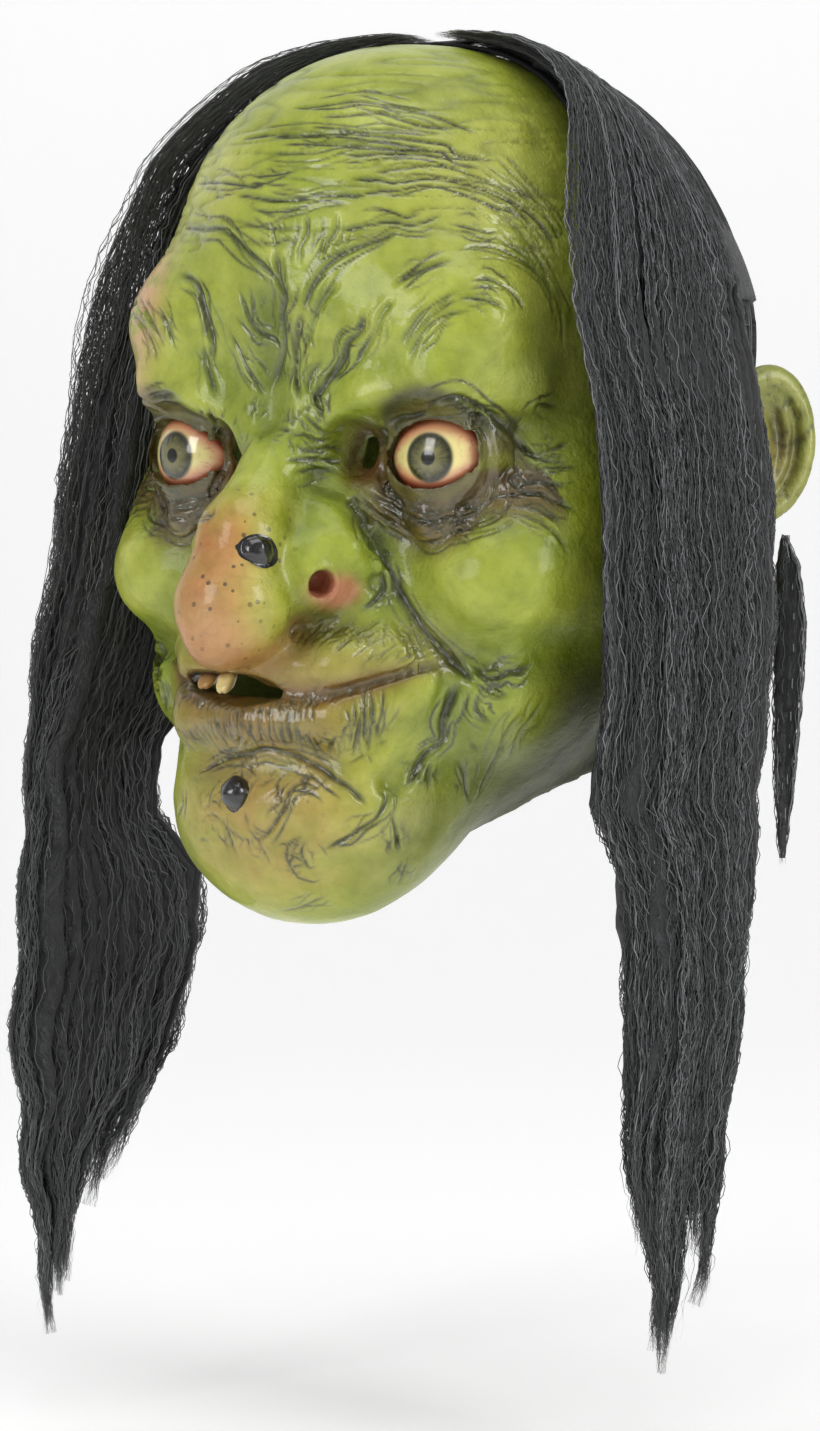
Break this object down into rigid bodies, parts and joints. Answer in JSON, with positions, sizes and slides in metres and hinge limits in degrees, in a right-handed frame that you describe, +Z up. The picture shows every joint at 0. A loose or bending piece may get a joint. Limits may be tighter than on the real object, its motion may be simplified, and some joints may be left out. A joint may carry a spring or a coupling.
{
  "type": "latex halloween mask",
  "caption": "Full-over-head latex witch mask with glued-in eyes, resin teeth, sewn hair wefts and four free-hanging hair locks.",
  "frame": {"origin": "the point where the top of the wearer's head meets the underside of the foam crown pad, on the mask's centre plane", "axes": "+Z up, the mask faces -Y, +X towards the mask's own left side"},
  "size_m": [0.2374, 0.2548, 0.4407],
  "materials": {
    "latex": "glossy painted latex with black wash in the creases",
    "eye_paint": "gloss",
    "cornea": "clear gloss",
    "cloth": "latex-dipped muslin",
    "gum": "wet gloss",
    "tooth": "satin resin",
    "wart": "gloss",
    "foam": "open-cell foam",
    "weft": "sewn band",
    "hair": "crimped synthetic fibre"
  },
  "bodies": {
    "mask": {"latex_skin": "latex", "eye_shell_left": "eye_paint", "cornea_left": "cornea", "eye_retainer_left": "cloth", "eye_shell_right": "eye_paint", "cornea_right": "cornea", "eye_retainer_right": "cloth", "upper_gum": "gum", "tooth_left": "tooth", "tooth_right": "tooth", "wart_nose": "wart", "wart_chin": "wart", "crown_pad": "foam", "forehead_pad": "foam", "slit_patch": "cloth", "hair_crown_left": "hair", "hair_side_left": "hair", "hair_back_upper_left": "hair", "hair_back_lower_left": "hair", "hair_crown_right": "hair", "hair_side_right": "hair", "hair_back_upper_right": "hair", "hair_back_lower_right": "hair", "weft_track_hairline_left": "weft", "weft_track_side_left": "weft", "weft_track_hairline_right": "weft", "weft_track_side_right": "weft", "weft_track_back_upper": "weft", "weft_track_back_lower": "weft"},
    "front_left": {"lock_front_left": "hair"},
    "front_right": {"lock_front_right": "hair"},
    "back_left": {"lock_back_left": "hair"},
    "back_right": {"lock_back_right": "hair"}
  },
  "joints": [
    {"name": "front_left_swing", "type": "hinge", "parent": "mask", "child": "front_left", "pos_m": [0.0965, -0.028, -0.062], "axis": [0, -1, 0], "range_deg": [0, 55]},
    {"name": "front_right_swing", "type": "hinge", "parent": "mask", "child": "front_right", "pos_m": [-0.097, -0.0305, -0.062], "axis": [0, 1, 0], "range_deg": [0, 55]},
    {"name": "back_left_swing", "type": "hinge", "parent": "mask", "child": "back_left", "pos_m": [0.091, 0.058, -0.142], "axis": [0.5736, -0.8192, 0], "range_deg": [-8, 60]},
    {"name": "back_right_swing", "type": "hinge", "parent": "mask", "child": "back_right", "pos_m": [-0.091, 0.058, -0.142], "axis": [0.5736, 0.8192, 0], "range_deg": [-8, 60]}
  ]
}
